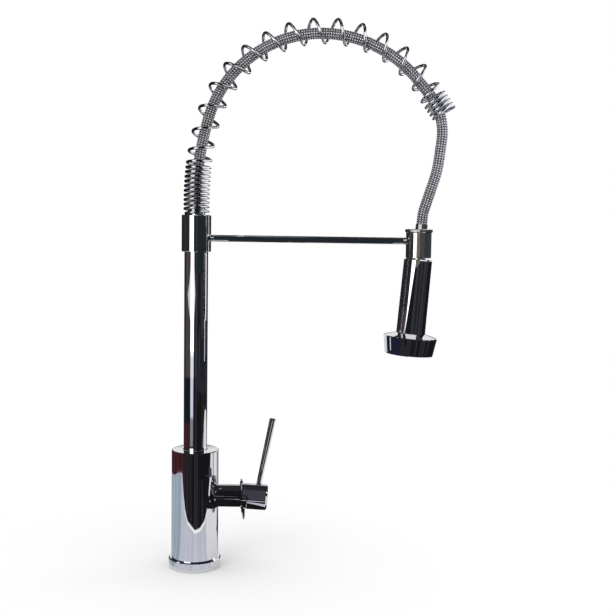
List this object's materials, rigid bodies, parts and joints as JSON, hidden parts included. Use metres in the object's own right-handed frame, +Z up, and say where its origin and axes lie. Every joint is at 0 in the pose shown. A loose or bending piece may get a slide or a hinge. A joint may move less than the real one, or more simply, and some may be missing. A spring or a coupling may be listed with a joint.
{
  "type": "side spray kitchen faucet",
  "caption": "Single-lever kitchen mixer with a swivelling column, a spring arch over a braided hose, and a pull-down spray head docked in a ring.",
  "frame": {"origin": "centre of the base flange's bottom face, on the deck", "axes": "+Z up along the column, +X towards the docking ring and the handle at rest, +Y to the back"},
  "size_m": [0.3332, 0.0634, 0.6525],
  "materials": {
    "chrome": "polished",
    "brass": "machined",
    "steel": "machined",
    "black_rubber": "matte",
    "soft_nozzle": "matte",
    "ceramic": "polished",
    "braided_hose": "braided",
    "grey_plastic": "moulded"
  },
  "bodies": {
    "base": {"base_flange": "chrome", "base_gasket": "black_rubber", "valve_body": "chrome", "inlet_manifold": "brass", "swivel_bush": "grey_plastic", "thrust_washer": "grey_plastic", "swivel_screw": "steel", "valve_housing": "chrome", "cartridge_seal": "black_rubber", "cartridge_body": "grey_plastic", "cartridge_nut": "brass", "fixed_disc": "ceramic"},
    "column": {"column_spigot": "brass", "swivel_o_rings": "black_rubber", "column_tube": "chrome", "column_head": "brass", "column_collar": "chrome", "collar_screw": "steel", "spring_seat": "chrome", "support_rod": "chrome", "holder_ring": "chrome", "holder_liner": "grey_plastic", "arch_spring": "chrome", "hose_lower_ferrule": "steel", "hose": "braided_hose"},
    "spray_head": {"hose_upper_ferrule": "chrome", "hose_nut": "chrome", "hose_washer": "black_rubber", "spray_handle": "chrome", "check_valve": "grey_plastic", "waterway": "grey_plastic", "spray_bell": "chrome", "bell_seal": "black_rubber", "diverter_core": "grey_plastic", "spray_plate": "grey_plastic", "nozzles": "soft_nozzle", "aerator": "grey_plastic"},
    "selector": {"selector_ring": "chrome"},
    "stem_turner": {"stem_guide": "grey_plastic", "pivot_pin": "steel"},
    "disc_slider": {"sliding_disc": "ceramic", "disc_carrier": "grey_plastic"},
    "handle": {"valve_stem": "brass", "handle_cap": "chrome", "trim_disc": "chrome", "handle_lever": "chrome", "handle_screw": "steel"}
  },
  "joints": [
    {"name": "column_swivel", "type": "hinge", "parent": "base", "child": "column", "pos_m": [0, 0, 0.13], "axis": [0, 0, 1], "continuous": true},
    {"name": "spray_pull", "type": "slide", "parent": "column", "child": "spray_head", "axis": [-0.079, 0, -0.9969], "range_m": [0, 0.06], "stiffness_N_per_m": 40, "springref_m": -0.2, "deforming": ["hose"]},
    {"name": "spray_select", "type": "hinge", "parent": "spray_head", "child": "selector", "pos_m": [0.25369, 0, 0.26574], "axis": [0.079, 0, 0.9969], "range_deg": [0, 60]},
    {"name": "handle_temperature", "type": "hinge", "parent": "base", "child": "stem_turner", "pos_m": [0.0561, 0, 0.0864], "axis": [1, 0, 0], "range_deg": [-45, 45]},
    {"name": "handle_flow", "type": "hinge", "parent": "stem_turner", "child": "handle", "pos_m": [0.0561, 0, 0.0864], "axis": [0, 1, 0], "range_deg": [0, 16]},
    {"name": "disc_slide", "type": "slide", "parent": "stem_turner", "child": "disc_slider", "axis": [0, 0, 1], "range_m": [0, 0.003]}
  ],
  "couplings": [
    {"joint": "disc_slide", "follows": "handle_flow", "m_per_rad": 0.0095}
  ]
}
